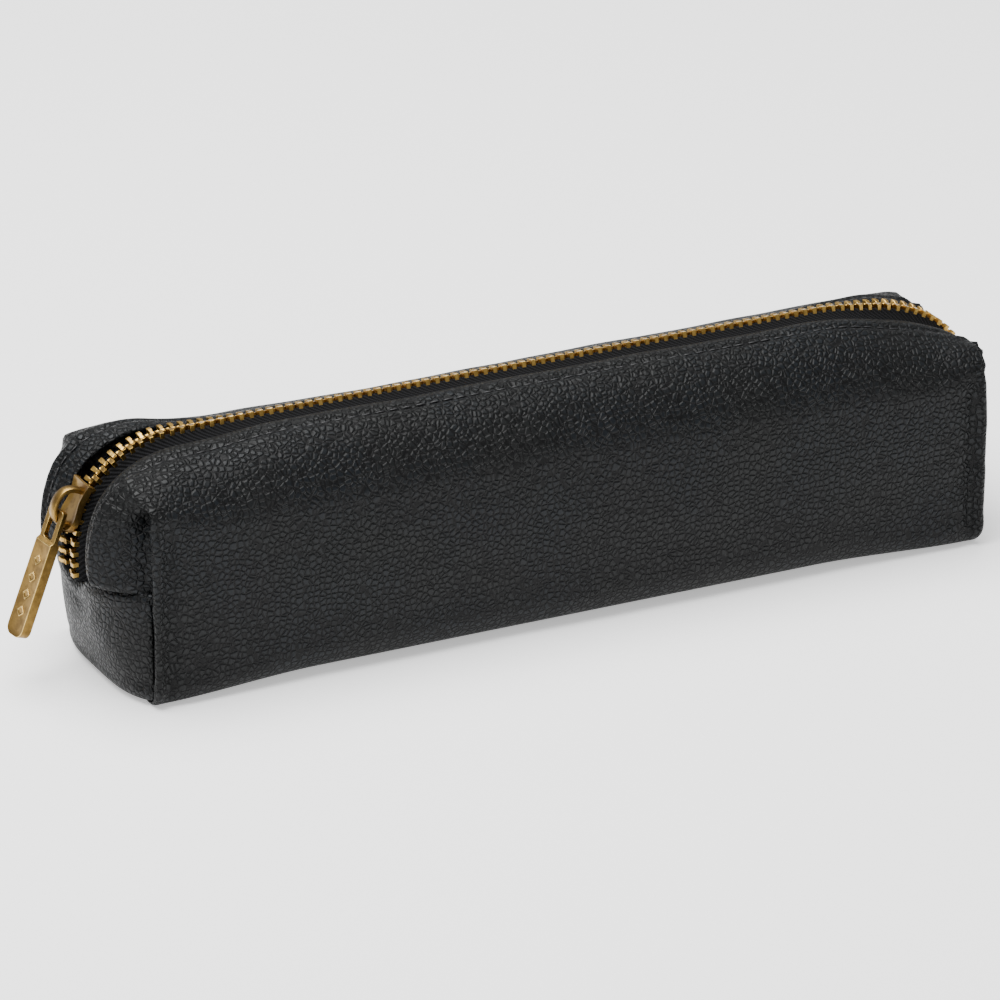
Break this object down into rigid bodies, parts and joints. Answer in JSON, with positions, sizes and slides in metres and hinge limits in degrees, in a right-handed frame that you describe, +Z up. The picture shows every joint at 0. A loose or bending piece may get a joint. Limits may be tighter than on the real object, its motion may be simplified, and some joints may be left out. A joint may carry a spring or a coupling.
{
  "type": "zippered pen case",
  "caption": "Slim boxed leather case for fountain pens, closed by a brass zip that runs over the top and down both ends.",
  "frame": {"origin": "middle of the flat underside that the case rests on", "axes": "+X along the case, away from the closed slider; +Y from the front to the back; +Z up"},
  "size_m": [0.2332, 0.048, 0.0534],
  "materials": {
    "leather": "black pebble-grained leather, soft sheen",
    "lining": "charcoal suede-like pen lining",
    "board": "grey-brown stiffening board",
    "tape": "black woven zip tape, twill",
    "thread": "black bonded thread",
    "teeth": "golden brass, worn bright",
    "slider": "antique brass, brown in the low places and bright on the edges"
  },
  "bodies": {
    "root": {"leather_lower": "leather", "lining_lower": "lining", "base_board": "board", "end_stop": "teeth"},
    "front_lip": {"leather_upper_front": "leather", "lining_upper_front": "lining", "zip_tape_front": "tape", "zip_teeth_front": "teeth", "topstitch_front": "thread"},
    "back_lip": {"leather_upper_back": "leather", "lining_upper_back": "lining", "zip_tape_back": "tape", "zip_teeth_back": "teeth", "topstitch_back": "thread"},
    "slider": {"slider_body": "slider"},
    "puller": {"puller": "slider"}
  },
  "joints": [
    {"name": "slider_travel", "type": "hinge", "parent": "root", "child": "slider", "pos_m": [-0.0064, 0, -0.08763], "axis": [0, 1, 0], "range_deg": [0, 68], "deforming": ["zip_tape_front", "zip_tape_back", "zip_teeth_front", "zip_teeth_back"]},
    {"name": "front_lip_open", "type": "hinge", "parent": "root", "child": "front_lip", "pos_m": [0.108, 0, 0], "axis": [0, 0, 1], "range_deg": [0, 5.6]},
    {"name": "back_lip_open", "type": "hinge", "parent": "root", "child": "back_lip", "pos_m": [0.108, 0, 0], "axis": [0, 0, 1], "range_deg": [-5.6, 0]},
    {"name": "puller_swing", "type": "hinge", "parent": "slider", "child": "puller", "pos_m": [-0.11197, 0, 0.03742], "axis": [0, 1, 0], "range_deg": [0, 150]}
  ],
  "couplings": [
    {"joint": "front_lip_open", "follows": "slider_travel", "ratio": 0.080882},
    {"joint": "back_lip_open", "follows": "slider_travel", "ratio": -0.080882}
  ]
}
